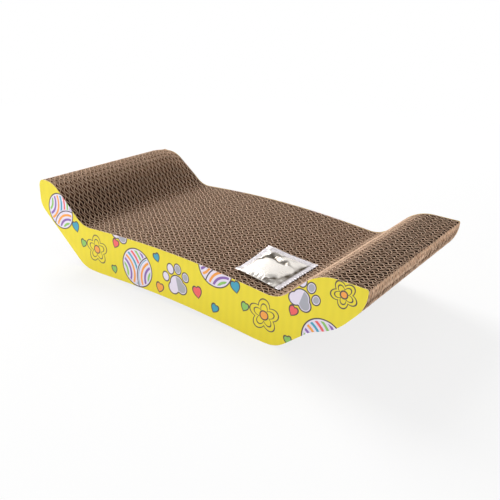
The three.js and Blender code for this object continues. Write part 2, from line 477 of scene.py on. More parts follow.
def add_node(tree, kind, values=None, **settings):
    """Adds a shader node with its settings, and feeds the named sockets."""
    node = tree.nodes.new("ShaderNode" + kind)
    for name, value in settings.items():
        setattr(node, name, value)
    for name, value in (values or {}).items():
        feed(tree, node.inputs[name], value)
    return node


class Term:
    """A number that changes over the surface, so that shapes can be written as formulas."""

    def __init__(self, tree, socket):
        self.tree = tree
        self.socket = socket

    def do(self, operation, *others, first=None, clamp=False):
        values = [self, *others] if first is None else [first, self]
        node = add_node(self.tree, "Math", operation=operation, use_clamp=clamp)
        for socket, value in zip(node.inputs, values):
            feed(self.tree, socket, value)
        return Term(self.tree, node.outputs[0])

    def __add__(self, other):
        return self.do("ADD", other)

    def __sub__(self, other):
        return self.do("SUBTRACT", other)

    def __rsub__(self, other):
        return self.do("SUBTRACT", first=other)

    def __mul__(self, other):
        return self.do("MULTIPLY", other)

    def __truediv__(self, other):
        return self.do("DIVIDE", other)

    def size(self):
        return self.do("ABSOLUTE")

    def least(self, other):
        return self.do("MINIMUM", other)

    def most(self, other):
        return self.do("MAXIMUM", other)

    def fraction(self):
        return self.do("FRACT")

    def floor(self):
        return self.do("FLOOR")

    def below(self, edge, blur):
        """1 where the number is under an edge, and 0 above it."""
        return ((edge - self) / blur).do("ADD", 0.5, clamp=True)


def add_noise(tree, position, scale, detail, roughness=0.5):
    """Cloudy noise about 0.5, as many spots to a metre as its scale says."""
    values = {"Vector": position, "Scale": scale, "Detail": detail, "Roughness": roughness}
    return Term(tree, add_node(tree, "TexNoise", values).outputs[0])


def remap(tree, value, low, high, start=0.0, end=1.0, **settings):
    """A value between low and high, spread from start to end and kept within them."""
    values = {"Value": value, "From Min": low, "From Max": high, "To Min": start, "To Max": end}
    return Term(tree, add_node(tree, "MapRange", values, **settings).outputs[0])


def read_attribute(tree, name):
    return Term(tree, add_node(tree, "Attribute", attribute_name=name).outputs["Fac"])


def far(x, z, along=0.0, up=0.0):
    """Distance from a point of the sheet."""
    across = x - along
    height = z - up
    return (across * across + height * height).do("SQRT")


def mix_colours(tree, mask, under, over):
    node = add_node(tree, "Mix", data_type="RGBA")
    feed(tree, node.inputs[0], mask)
    feed(tree, node.inputs[6], under)
    feed(tree, node.inputs[7], over)
    return node.outputs[2]


def new_group(name, inputs, outputs):
    """An empty node group. Inputs and outputs are (name, kind) pairs; returns its tree and inputs."""
    tree = bpy.data.node_groups.new(name, "ShaderNodeTree")
    for label, kind in inputs:
        tree.interface.new_socket(label, in_out="INPUT", socket_type="NodeSocket" + kind)
    for label, kind in outputs:
        tree.interface.new_socket(label, in_out="OUTPUT", socket_type="NodeSocket" + kind)
    return tree, tree.nodes.new("NodeGroupInput").outputs, tree.nodes.new("NodeGroupOutput").inputs


def use_group(tree, group, values):
    node = tree.nodes.new("ShaderNodeGroup")
    node.node_tree = group
    for name, value in values.items():
        feed(tree, node.inputs[name], value)
    return node.outputs


def new_material(name, **constants):
    """A material with a Principled BSDF, whose plain values are set on its own sockets."""
    material = bpy.data.materials.new(name)
    material.use_nodes = True
    tree = material.node_tree
    shader = tree.nodes["Principled BSDF"]
    for label, value in constants.items():
        feed(tree, shader.inputs[label.replace("_", " ").title().replace("Ior", "IOR")], value)
    position = add_node(tree, "TexCoord").outputs["Object"]
    return material, tree, shader, position


def add_bump(tree, shader, height, strength, distance):
    bump = add_node(tree, "Bump", {"Height": height, "Strength": strength, "Distance": distance})
    feed(tree, shader.inputs["Normal"], bump.outputs["Normal"])


# Materials


def paper_fibre_group():
    """Fibres and clouding of brown paper: a colour between two others, and the fibres' height."""
    tree, given, result = new_group(
        "paper_fibre",
        [("Vector", "Vector"), ("Base", "Color"), ("Dark", "Color"), ("Scale", "Float"), ("Cloud", "Float")],
        [("Color", "Color"), ("Height", "Float")],
    )
    stretched = add_node(tree, "Mapping", {"Vector": given["Vector"], "Scale": (1, 1, 0.25)}).outputs[0]
    fibre = add_noise(tree, stretched, scale=given["Scale"], detail=4, roughness=0.7)
    cloud = add_noise(tree, given["Vector"], scale=given["Cloud"], detail=2)
    fibre_share = 0.6
    both = remap(tree, fibre, 0.35, 0.65) * fibre_share + remap(tree, cloud, 0.3, 0.7, end=fibre_share)
    feed(tree, result["Color"], mix_colours(tree, both.least(1), given["Base"], given["Dark"]))
    feed(tree, result["Height"], fibre)
    return tree


def lay_paper(tree, group, position, base, dark, scale, cloud):
    """Fibrous paper at each place: its colour, and the height of its fibres."""
    values = {"Vector": position, "Base": base, "Dark": dark, "Scale": scale, "Cloud": cloud}
    return use_group(tree, group, values)


def paper_material(name, group, base, dark, scale, cloud, bump):
    material, tree, shader, position = new_material(name, roughness=0.88, specular_ior_level=0.25)
    paper = lay_paper(tree, group, position, base, dark, scale, cloud)
    feed(tree, shader.inputs["Base Color"], paper["Color"])
    add_bump(tree, shader, paper["Height"], strength=0.5, distance=bump)
    return material


def board_material(group, colours):
    """Brown paper whose saw-cut edges are frayed to pale fibres, with painted shade deep in the board."""
    material, tree, shader, position = new_material("kraft_paper", roughness=0.9, specular_ior_level=0.2)
    wall = lay_paper(tree, group, position, colours.kraft, colours.kraft_dark, scale=700, cloud=30)
    cut = lay_paper(tree, group, position, colours.cut, colours.cut_dark, scale=900, cloud=260)
    tuft_share = 0.25
    tufts = add_noise(tree, position, scale=1100, detail=2)
    reach = read_attribute(tree, SAWN_AND_SHADE) + (tufts - 0.5) * tuft_share
    clear_of_painted_shade = remap(tree, reach, 0.3, 0.6)
    # Pale fibres at the cut edges; where their band is widened along the lounge they are a painted
    # highlight.
    frayed = remap(tree, reach, 0.8, 0.92)
    # Painted shade: paper away from its cut edges takes the deep kraft colour, for the shade in the board's
    # holes.
    wall_with_painted_shade = mix_colours(tree, clear_of_painted_shade, colours.kraft_painted_shade, wall["Color"])
    feed(tree, shader.inputs["Base Color"], mix_colours(tree, frayed, wall_with_painted_shade, cut["Color"]))
    add_bump(tree, shader, cut["Height"], strength=0.5, distance=0.0003)
    return material


class Print:
    """Lays inks on the printed ground one after another, in millimetres from the left end."""

    repeat = 232
    blur = 0.3
    line_width = 1.3

    def __init__(self, tree, position, ground, colours):
        self.tree = tree
        self.colour = ground
        self.colours = colours
        axes = add_node(tree, "SeparateXYZ", {"Vector": position}).outputs
        self.along = Term(tree, axes["X"]) * 1000 - cad_low.x * 1000
        self.up = Term(tree, axes["Z"]) * 1000

    def place(self, along, up, degrees=0):
        """Coordinates from a motif's own middle, the same again after each repeat."""
        x = (self.along - along).do("WRAP", self.repeat / 2, -self.repeat / 2)
        z = self.up - up
        if not degrees:
            return x, z
        sine = math.sin(math.radians(degrees))
        cosine = math.cos(math.radians(degrees))
        return x * cosine + z * sine, z * cosine - x * sine

    def lay(self, mask, ink):
        self.colour = mix_colours(self.tree, mask, self.colour, ink)

    def fill(self, edge, ink):
        """Inks the inside of an edge."""
        self.lay(edge.below(0, self.blur), ink)

    def line(self, edge, inside=None):
        """Draws an edge as a dark line."""
        mask = edge.size().below(self.line_width / 2, self.blur)
        if inside is not None:
            mask = mask * inside
        self.lay(mask, self.colours.line_ink)

    def wheel(self, index):
        """One of the accents, by its number."""
        inks = [
            self.colours.teal_ink, self.colours.coral_ink, self.colours.green_ink,
            self.colours.purple_ink, self.colours.orange_ink,
        ]
        ramp = add_node(self.tree, "ValToRGB")
        ramp.color_ramp.interpolation = "CONSTANT"
        while len(ramp.color_ramp.elements) < len(inks):
            ramp.color_ramp.elements.new(0.5)
        for number, ink in enumerate(inks):
            ramp.color_ramp.elements[number].position = number / len(inks)
            ramp.color_ramp.elements[number].color = (*ink, 1)
        turn = ((index + 0.5) / len(inks)).fraction()
        feed(self.tree, ramp.inputs["Fac"], turn)
        return ramp.outputs["Color"]


def draw_flower(page, along, up, radius, degrees):
    """Five round petals drawn in line on the bare ground, with an inked middle."""
    petals = 5
    notch = 0.64
    middle_share = 0.27
    inner_line = 0.3
    x, z = page.place(along, up, degrees)
    spread = far(x, z)
    angle = z.do("ARCTAN2", x)
    bulge = (angle * (petals / 2)).do("COSINE").size()
    rim = spread - (bulge * (1 - notch) + notch) * radius
    page.line(rim)
    middle = spread - radius * middle_share
    page.line(rim + radius * inner_line, inside=middle.below(0, -page.blur))
    page.fill(middle, page.colours.orange_ink)
    page.line(middle)


def draw_heart(page, along, up, radius, degrees, ink):
    """A small heart filled with one accent."""
    lobe_rise = 0.62
    x, z = page.place(along, up, degrees)
    lobes = (x.size() * radius).do("SQRT") * lobe_rise
    edge = far(x, z - lobes) - radius
    page.fill(edge, ink)
    page.line(edge)


def draw_yarn_ball(page, along, up, radius, degrees):
    """A pale ball wound with coloured strands, in two layers that cross."""
    strand_pitch = 5.2
    strand_width = 2.7
    rim_gap = 2.2
    fold_gap = 1.6
    x, z = page.place(along, up, degrees)
    rim = far(x, z) - radius
    page.fill(rim, page.colours.pale_ink)
    back = far(x, z, -1.25 * radius, 0.45 * radius)
    front = far(x, z, 0.75 * radius, -1.2 * radius)
    fold = front - 1.35 * radius
    winding = add_node(page.tree, "Mix")
    feed(page.tree, winding.inputs[0], fold.below(0, 0.01))
    feed(page.tree, winding.inputs[2], back)
    feed(page.tree, winding.inputs[3], front)
    turns = Term(page.tree, winding.outputs[0]) / strand_pitch
    off_middle = (turns.fraction() - 0.5).size() * strand_pitch
    inside = rim.below(-rim_gap, page.blur)
    clear_of_fold = fold.size().below(fold_gap, -page.blur)
    strand = off_middle.below(strand_width / 2, page.blur)
    page.lay(strand * inside * clear_of_fold, page.wheel(turns.floor()))
    page.line(fold, inside=rim.below(0, page.blur))
    page.line(rim)


def draw_paw(page, along, up, scale, degrees):
    """A paw print of a pad and four toes, made of rounds and ovals. One side of it is shaded."""
    pale_rim = 1.5
    x, z = page.place(along, up, degrees)
    side = x.size()
    rounds = (
        (x, 0, -3, 8),
        (side, 5, -7, 6),
        (side * 1.25, 5.6, 11, 5),
        (side * 1.2, 14.5, 3.6, 4.6),
    )
    rims = [
        far(across, z, off * scale, rise * scale) - radius * scale for across, off, rise, radius in rounds
    ]
    edge = reduce(Term.least, rims)
    page.fill(edge, page.colours.pale_ink)
    page.lay(edge.below(-pale_rim, page.blur) * x.below(0, -page.blur), page.colours.grey_ink)
    page.line(edge)


def print_group(colours):
    """The printed sheet's yellow ground and its motifs."""
    inputs = [("Vector", "Vector"), ("Ground", "Color")]
    tree, given, result = new_group("lounge_print", inputs, [("Color", "Color")])
    page = Print(tree, given["Vector"], given["Ground"], colours)
    draw_flower(page, 96, 29, 17, 20)
    draw_flower(page, 408, 78, 13, 50)
    for along, up, radius, degrees, ink in (
        (62, 46, 5.6, 18, colours.teal_ink),
        (73, 29, 4.4, -16, colours.green_ink),
        (127, 44, 4.8, -20, colours.coral_ink),
        (124, 12, 4.2, 12, colours.green_ink),
        (190, 46, 4.4, 24, colours.teal_ink),
        (193, 12, 5.2, -10, colours.orange_ink),
        (246, 24, 5.8, 14, colours.coral_ink),
        (268, 14, 4.6, -22, colours.teal_ink),
    ):
        draw_heart(page, along, up, radius, degrees, ink)
    draw_yarn_ball(page, 36, 60, 21, 0)
    draw_yarn_ball(page, 160, 26, 22, 40)
    draw_paw(page, 217, 29, 1.15, 14)
    draw_paw(page, 368, 64, 1.1, -18)
    feed(tree, result["Color"], page.colour)
    return tree


def printed_material(colours, card):
    """Printed paper: the ground is faintly banded where the flutes behind it show."""
    material, tree, shader, position = new_material(
        "printed_paper", roughness=0.5, specular_ior_level=0.4
    )
    along = Term(tree, add_node(tree, "SeparateXYZ", {"Vector": position}).outputs["X"])
    band = (along * (2 * math.pi / card.big_flute_pitch)).do("SINE") * 0.5 + 0.5
    cloud = add_noise(tree, position, scale=28, detail=3)
    banding = 0.10
    clouding = 0.14
    deep_share = 0.72
    worn = band * banding + cloud * clouding
    deep = [value * deep_share for value in colours.ground]
    ground = mix_colours(tree, worn, colours.ground, deep)
    motifs = use_group(tree, print_group(colours), {"Vector": position, "Ground": ground})
    feed(tree, shader.inputs["Base Color"], motifs["Color"])
    grain = add_noise(tree, position, scale=900, detail=3)
    add_bump(tree, shader, grain, strength=0.25, distance=0.0001)
    return material


def foil_material(colours, sachet):
    """Foil: duller on its three ribbed seals, with painted shade in the grooves beside them, and painted
    shade and reflection in its creases.
    """
    material, tree, shader, position = new_material("aluminium_foil", metallic=1.0)
    smudge = add_noise(tree, position, scale=90, detail=4)
    fine = add_noise(tree, position, scale=1400, detail=2)
    flat_place = add_node(tree, "Attribute", attribute_name=FLAT_PLACE).outputs["Vector"]
    axes = add_node(tree, "SeparateXYZ", {"Vector": flat_place}).outputs
    along = Term(tree, axes["X"])
    across = Term(tree, axes["Y"])
    blur = 0.00105
    pressed = [
        (along, sachet.left_seal),
        (sachet.width - along, sachet.right_seal),
        (sachet.depth - across, sachet.back_seal),
    ]
    rib_pitch = 0.0013
    groove_width = 0.0014
    groove_darkness = 0.55
    streak_darkness = 0.28
    waves = []
    seals = []
    lines = []
    for inwards, width in pressed:
        within = inwards.below(width, blur)
        waves.append((inwards * (2 * math.pi / rib_pitch)).do("SINE") * within)
        seals.append(inwards.below(width, 2 * blur))
        # Beside the seals, lines of painted shade for their pressed grooves.
        lines.append(inwards.below(width + groove_width, blur) * (1 - within))
    ribs = reduce(Term.__add__, waves)
    on_seal = reduce(Term.most, seals)
    # Painted shade: the dark beside each seal stands for the shade in the pressed grooves.
    groove_shade = reduce(Term.most, lines) * groove_darkness
    scuffs = add_noise(tree, position, scale=420, detail=3)
    streaks = remap(tree, scuffs, 0.45, 0.62) * on_seal * streak_darkness
    welded = mix_colours(tree, on_seal, colours.foil, colours.foil_seal)
    groove_shade_and_scuffs = mix_colours(tree, groove_shade.most(streaks), welded, colours.foil_shade_and_scuff)
    dulled = mix_colours(tree, smudge * 0.4, groove_shade_and_scuffs, colours.foil_seal)
    # Painted shade and reflection along the folds, darker in some spots than others.
    shade_patches = remap(tree, smudge, 0.3, 0.55, start=0.6)
    creased = mix_colours(tree, read_attribute(tree, CREASE_SHADE) * shade_patches, dulled, colours.foil_shade_and_scuff)
    feed(tree, shader.inputs["Base Color"], creased)
    feed(tree, shader.inputs["Roughness"], remap(tree, smudge, 0, 1, 0.2, 0.36))
    add_bump(tree, shader, ribs * 0.5 + fine * 0.4, strength=0.5, distance=0.0002)
    return material


def leaf_material(colours):
    material, tree, shader, position = new_material("dried_leaf", roughness=0.9)
    fleck = add_noise(tree, position, scale=420, detail=4)
    tone = mix_colours(tree, remap(tree, fleck, 0.4, 0.6), colours.leaf, colours.leaf_dark)
    feed(tree, shader.inputs["Base Color"], tone)
    add_bump(tree, shader, fleck, strength=0.6, distance=0.0004)
    return material


# Pieces


def settings():
    return bpy.context.scene.lounge


def board_thickness():
    inside = cad_high.y - cad_low.y - 2 * settings().card.print_thickness
    return inside / len(BOARD_NODES)


def place_of_board(index):
    """Front face of a board."""
    return cad_low.y + settings().card.print_thickness + index * board_thickness()


def leaning_fold(steps, lean):
    """One fold as a wave from 1 at the rear paper to -1 at the front one. The steeper flank comes first."""
    share = np.arange(steps) / steps
    steep = math.pi * share / lean
    flat = math.pi + math.pi * (share - lean) / (1 - lean)
    return np.cos(np.where(share < lean, steep, flat))


def pale_depths_with_painted_light(stations):
    """How far in from its upper edge a paper is paler, partly as painted light: furthest on the bolster,
    least on the headrest.
    """
    shape = settings().outline
    left_valley = shape.bolster_top + shape.bolster_slope
    headrest_crest = shape.length - shape.headrest_top
    # Painted light: these factors widen the pale band as a painted highlight on the bolster's crest and on
    # the slope up to the headrest, and narrow it as painted shade on the headrest's top.
    times = {
        shape.bolster_top: 8.0,
        left_valley - 0.6 * shape.bolster_slope: 1.5,
        left_valley: 1.2,
        headrest_crest - 1.2 * shape.headrest_slope: 0.95,
        headrest_crest - 0.8 * shape.headrest_slope: 2.0,
        headrest_crest - 0.2 * shape.headrest_slope: 1.8,
        headrest_crest + 0.2 * shape.headrest_slope: 0.32,
    }
    return settings().card.worn_depth * np.interp(stations, list(times), list(times.values()))


def sawn_heights(card, stations, low, high):
    """Rows of a board's paper: its cut edges, and how far in from each it is paler. Between those bands the
    paper gets painted shade.
    """
    room = 0.45 * (high - low)
    low_band = np.minimum(card.under_depth, room)
    high_band = np.minimum(pale_depths_with_painted_light(stations), room)
    return [low, low + low_band, high - high_band, high]


def flute(name, outline, material, card, middle, height, pitch, shift, fold, chance):
    """One folded paper of a board, between the flat papers. Its last folds close the board's ends."""
    columns = round(outline.length / pitch * len(fold))
    stations = np.linspace(0, outline.length, columns + 1)
    swing = (height - card.flute_thickness) / 2
    drift_points = 9
    drifts = chance.uniform(-card.unevenness, card.unevenness, drift_points)
    uneven = np.interp(stations, np.linspace(0, outline.length, drift_points), drifts)
    turns = (stations - shift) / pitch + uneven
    crest = np.interp(turns % 1, np.linspace(0, 1, len(fold) + 1), [*fold, fold[0]])
    crest[[0, 1, -2, -1]] = [1, -1, 1, -1]
    wave = middle + swing * crest * chance.uniform(card.least_swing, 1.0, columns + 1)
    high = outline.top_at(stations) + chance.uniform(-card.ragged, 0, columns + 1)
    low = outline.bottom_at(stations) + chance.uniform(0, card.ragged, columns + 1)
    return upright_sheet(
        name, stations, sawn_heights(card, stations, low, high), [material], card.flute_thickness, wave
    )


def liner(name, outline, material, card, middle):
    """One flat paper of a board, less frayed at its cut edges than the folded ones."""
    step = 0.004
    stations = outline.stations(step)
    low = outline.bottom_at(stations) + card.liner_drop
    high = outline.top_at(stations) - card.liner_drop
    return upright_sheet(
        name, stations, sawn_heights(card, stations, low, high), [material], card.liner_thickness,
        np.full(len(stations), middle), sawn_and_shade=0.75,
    )


def make_board(index, outline, material):
    """One double-wall board: three flat papers, with big folds and then small ones between them."""
    card = settings().card
    chance = np.random.default_rng(card.seed + index)
    front = place_of_board(index)
    thickness = board_thickness()
    outline.press(front + thickness)
    folded = thickness - 3 * card.liner_thickness
    big = folded * card.big_flute_share
    small = folded - big
    half_liner = card.liner_thickness / 2
    middle_liner = front + card.liner_thickness + big + half_liner
    shift = index * card.flute_shift + chance.uniform(-card.flute_stray, card.flute_stray)
    small_shift = chance.uniform(0, card.small_flute_pitch)
    sheets = [
        liner("liner", outline, material, card, middle)
        for middle in (front + half_liner, middle_liner, front + thickness - half_liner)
    ]
    big_middle = front + card.liner_thickness + big / 2
    small_middle = middle_liner + half_liner + small / 2
    big_fold = leaning_fold(steps=12, lean=card.lean)
    small_fold = leaning_fold(steps=8, lean=0.5)
    for middle, height, pitch, start, fold in (
        (big_middle, big, card.big_flute_pitch, shift, big_fold),
        (small_middle, small, card.small_flute_pitch, small_shift, small_fold),
    ):
        sheets.append(flute("flute", outline, material, card, middle, height, pitch, start, fold, chance))
    board = join_pieces(sheets, f"corrugated_{BOARD_NODES[index]}")
    smooth_by_angle(board, 50)
    return board


class LOUNGE_OT_boards(bpy.types.Operator):
    """Stands the corrugated boards side by side"""

    bl_idname = "lounge.boards"
    bl_label = "Corrugated boards"

    def execute(self, context):
        outline = Outline(settings().outline)
        material = board_material(paper_fibre_group(), settings().colours)
        for index, node in enumerate(BOARD_NODES):
            board = make_board(index, outline, material)
            hand_over(board, "lounge", "corrugated_board", node)
        return {"FINISHED"}


def make_print(name, outline, materials, outer_face, way):
    """One printed sheet, rippled by the flutes behind it. Way points outwards along Y."""
    card = settings().card
    step = 0.001
    rows = 9
    outline.press(outer_face)
    stations = outline.stations(step)
    middle = outer_face - way * card.print_thickness / 2
    wave = 0.5 + 0.5 * np.cos(2 * math.pi * stations / card.big_flute_pitch)
    low = outline.bottom_at(stations)
    high = outline.top_at(stations)
    heights = [low + (high - low) * share for share in np.linspace(0, 1, rows)]
    sheet = upright_sheet(
        name, stations, heights, materials, card.print_thickness, middle - way * card.ripple * wave
    )
    smooth_by_angle(sheet, 40)
    return sheet


class LOUNGE_OT_prints(bpy.types.Operator):
    """Glues a printed sheet to each side"""

    bl_idname = "lounge.prints"
    bl_label = "Printed sheets"

    def execute(self, context):
        outline = Outline(settings().outline)
        colours = settings().colours
        printed = printed_material(colours, settings().card)
        fibre = bpy.data.node_groups["paper_fibre"]
        edge = paper_material(
            "print_edge", fibre, colours.print_edge, colours.cut, scale=900, cloud=200, bump=0.0002
        )
        for side, face, way in (("front", cad_low.y, -1), ("back", cad_high.y, 1)):
            sheet = make_print(f"printed_sheet_{side}", outline, [printed, edge], face, way)
            hand_over(sheet, "lounge", "printed_liner", f"print_liner_{side}")
        return {"FINISHED"}


def store_flat_places(piece, places):
    """Keeps where each point lay in the flat pouch: along, across, and 1 on the upper web or 0 below."""
    attribute = piece.data.attributes.new(FLAT_PLACE, "FLOAT_VECTOR", "POINT")
    attribute.data.foreach_set("vector", places.ravel())


def flat_places(piece):
    places = np.empty(len(piece.data.vertices) * 3)
    piece.data.attributes[FLAT_PLACE].data.foreach_get("vector", places)
    return places.reshape(-1, 3)


def smooth_step(value, start, end):
    """0 up to the start, 1 from the end, and an even curve between."""
    share = np.clip((value - start) / (end - start), 0, 1)
    return share * share * (3 - 2 * share)


def inside_seals(sachet, flat):
    """How far each point of the flat pouch lies inside the nearest seal. It is negative on the seals."""
    along, across = flat[:, 0], flat[:, 1]
    margins = [
        along - sachet.left_seal,
        sachet.width - along - sachet.right_seal,
        sachet.depth - across - sachet.back_seal,
        across - sachet.front_fold,
    ]
    return np.min(margins, axis=0)


def close_webs(webs, name):
    """Joins a lower and an upper grid all round their rims into one closed piece."""
    piece = join_pieces(webs, name)
    bpy.ops.object.mode_set(mode="EDIT")
    bpy.ops.mesh.select_all(action="DESELECT")
    bpy.ops.mesh.select_mode(type="EDGE")
    bpy.ops.mesh.select_non_manifold()
    bpy.ops.mesh.bridge_edge_loops()
    bpy.ops.mesh.select_all(action="SELECT")
    bpy.ops.mesh.normals_make_consistent(inside=False)
    bpy.ops.object.mode_set(mode="OBJECT")
    return piece


def flat_pouch(sachet, foil):
    """Two foil webs over each other, joined all round their rim."""
    columns = round(sachet.width / sachet.cell)
    rows = round(sachet.depth / sachet.cell)
    webs = []
    for side in (0, 1):
        web = add_grid(columns, rows, "web", [foil])
        flat = vertex_places(web) * (sachet.width, sachet.depth, 0) + (0, 0, side)
        store_flat_places(web, flat)
        places = flat - (sachet.width / 2, sachet.depth / 2, side)
        places[:, 2] = side * sachet.pressed_thickness
        move_vertices(web, places)
        webs.append(web)
    return close_webs(webs, "sachet_pouch")


def blow_up(pouch, sachet):
    """Pushes the upper web up between its seals with Cloth, on a pouch ten times as large."""
    scale = 10
    frames = 24
    move_vertices(pouch, vertex_places(pouch) * scale)
    flat = flat_places(pouch)
    held = pouch.vertex_groups.new(name="held")
    still = np.flatnonzero((flat[:, 2] < 0.5) | (inside_seals(sachet, flat) <= 0))
    held.add(still.tolist(), 1, "REPLACE")
    cloth = pouch.modifiers.new("Cloth", "CLOTH")
    cloth.settings.vertex_group_mass = held.name
    cloth.settings.quality = 8
    cloth.settings.mass = 0.15
    cloth.settings.shrink_min = -sachet.spare
    cloth.settings.bending_stiffness = 0.4
    cloth.settings.use_pressure = True
    cloth.settings.uniform_pressure_force = sachet.pressure
    cloth.settings.effector_weights.gravity = 0
    cloth.point_cache.frame_end = frames
    for step in range(1, frames + 1):
        bpy.context.scene.frame_set(step)
    bpy.ops.object.modifier_apply(modifier=cloth.name)
    bpy.context.scene.frame_set(1)
    pouch.vertex_groups.clear()
    places = vertex_places(pouch) / scale
    swell = places[:, 2] - sachet.pressed_thickness
    places[:, 2] -= np.where(swell > 0, swell - sachet.puff * np.tanh(swell / sachet.puff), 0)
    move_vertices(pouch, places)


def ground_distance(points, run):
    """Distance of flat points from a run of straight lines, and which side of it they lie on."""
    nearest = np.full(len(points), np.inf)
    side = np.zeros(len(points))
    for start, end in zip(run, run[1:]):
        line = np.array(end) - start
        off = points - start
        share = np.clip(off @ line / (line @ line), 0, 1)
        away = off - share[:, None] * line
        distance = np.hypot(*away.T)
        turn = np.sign(line[0] * off[:, 1] - line[1] * off[:, 0])
        side = np.where(distance < nearest, turn, side)
        nearest = np.minimum(nearest, distance)
    return nearest, side


def fold_foil(flat, sachet):
    """How far the folds that the filling left move each point up, and how much painted shade and reflection
    they get.
    """
    lift = np.zeros(len(flat))
    crease_shade = np.zeros(len(flat))
    blot_scale = 170
    blots = np.array([noise.noise(Vector((*point, 0)) * blot_scale) for point in flat[:, :2]])
    blotted = np.maximum(0.9 + 1.1 * blots, 0.05)
    fold_width = 0.0032
    wide_side = 2.6
    narrow_side = 0.5
    long_fold = [(0.10, 0.50), (0.33, 0.64), (0.43, 0.84)]
    short_fold = [(0.33, 0.64), (0.48, 0.55), (0.60, 0.56)]
    right_fold = [(0.87, 0.78), (0.86, 0.58), (0.83, 0.38), (0.78, 0.21), (0.68, 0.13)]
    for run, depth in ((long_fold, 0.0016), (short_fold, 0.0013), (right_fold, 0.0012)):
        corners = [np.array(point) * (sachet.width, sachet.depth) for point in run]
        distance, side = ground_distance(flat[:, :2], corners)
        ridge = np.exp(-(((distance - 2 * fold_width) / fold_width) ** 2)) * (side > 0)
        lift += depth * (0.5 * ridge - np.exp(-((distance / fold_width) ** 2)))
        # The mask of the creases is painted shade and reflection, wide on one side of each fold.
        reach = blotted * np.where(side > 0, wide_side, narrow_side)
        crease_shade = np.maximum(crease_shade, np.exp(-((distance / (fold_width * reach)) ** 2)))
    return lift, crease_shade


def crumple_foil(flat, sachet):
    """Height of the small crumples, which are flatter on the filled front of the pouch."""
    crumple_scale = 110
    roughness = 0.9
    finer = 2.1
    layers = 3
    offset = 0.9
    gain = 1.6
    full_front = 0.62
    crumples = np.array([
        noise.ridged_multi_fractal(
            Vector((*point, 0)) * crumple_scale, roughness, finer, layers, offset, gain,
            noise_basis="PERLIN_ORIGINAL",
        )
        for point in flat[:, :2]
    ])
    calm = 1 - 0.75 * smooth_step(full_front - flat[:, 1] / sachet.depth, 0, 0.15)
    return sachet.crinkle * (crumples - 1) * calm


def trim_pouch(places, flat, sachet):
    """Pinks the right edge, draws the front in, and curls up the front edge and the back left corner."""
    right = flat[:, 0] / sachet.width
    back = flat[:, 1] / sachet.depth
    front = 1 - back
    tooth = np.abs(2 * ((flat[:, 1] / sachet.tooth) % 1) - 1)
    at_rim = smooth_step(flat[:, 0], sachet.width - 3 * sachet.tooth_depth, sachet.width)
    places[:, 0] -= sachet.tooth_depth * tooth * at_rim
    places[:, 0] += sachet.taper * (1 - 2 * right) * front
    places[:, 1] -= sachet.long_corner * right * front
    places[:, 2] += sachet.front_lift * smooth_step(-flat[:, 1], -sachet.curl, 0) * (1 - right ** 2)
    places[:, 2] += sachet.front_lift * smooth_step(back - right, 0.5, 1)


def crease_pouch(pouch, sachet):
    """Gives the blown up pouch its folds and crumples, painted shade and reflection in its creases, and its
    trimmed edges.
    """
    flat = flat_places(pouch)
    places = vertex_places(pouch)
    inside = inside_seals(sachet, flat)
    upper = flat[:, 2] > 0.5
    fade = 0.006
    deepest = 0.75
    folds, crease_shade = fold_foil(flat, sachet)
    lift = (folds + crumple_foil(flat, sachet)) * smooth_step(inside, 0, fade)
    room = places[:, 2] - sachet.pressed_thickness
    lift = np.maximum(lift, -deepest * np.maximum(room, 0))
    places[:, 2] += np.where(upper, lift, 0)
    trim_pouch(places, flat, sachet)
    move_vertices(pouch, places)
    off_seals = smooth_step(inside, -0.002, 0.0005)
    # The mask of the creases, kept off the seals, is where the foil's material paints shade and reflection.
    attribute = pouch.data.attributes.new(CREASE_SHADE, "FLOAT", "POINT")
    attribute.data.foreach_set("value", crease_shade * upper * off_seals)


def lay_on_seat(piece, sachet, outline):
    """Turns a piece of the sachet to its place and lets it follow the seat."""
    low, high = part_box("sachet_back_foil")
    middle = (low + high) / 2
    places = vertex_places(piece)
    cosine = math.cos(sachet.turn)
    sine = math.sin(sachet.turn)
    along = middle.x + places[:, 0] * cosine - places[:, 1] * sine
    across = middle.y + places[:, 0] * sine + places[:, 1] * cosine
    up = outline.top_at(along - cad_low.x) + sachet.clearance + places[:, 2]
    move_vertices(piece, np.column_stack([along, across, up]))


def make_pouch(sachet, foil):
    pouch = flat_pouch(sachet, foil)
    blow_up(pouch, sachet)
    apply_modifier(pouch, "SUBSURF", levels=1, render_levels=1)
    crease_pouch(pouch, sachet)
    return pouch


def make_flake(sachet, leaf):
    """One curled flake of dried leaf, in parts of its length."""
    pointed = 1.2
    width = 0.5
    arch = 0.25
    thickness = 0.05
    flake = add_grid(3, 1, "flake", [leaf])
    places = vertex_places(flake) - (0.5, 0.5, 0)
    taper = 1 - pointed * np.abs(places[:, 0])
    places[:, 1] *= width * taper
    places[:, 2] = arch * np.cos(3 * places[:, 0])
    move_vertices(flake, places * sachet.flake)
    apply_modifier(flake, "SOLIDIFY", thickness=thickness * sachet.flake, offset=0)
    return flake


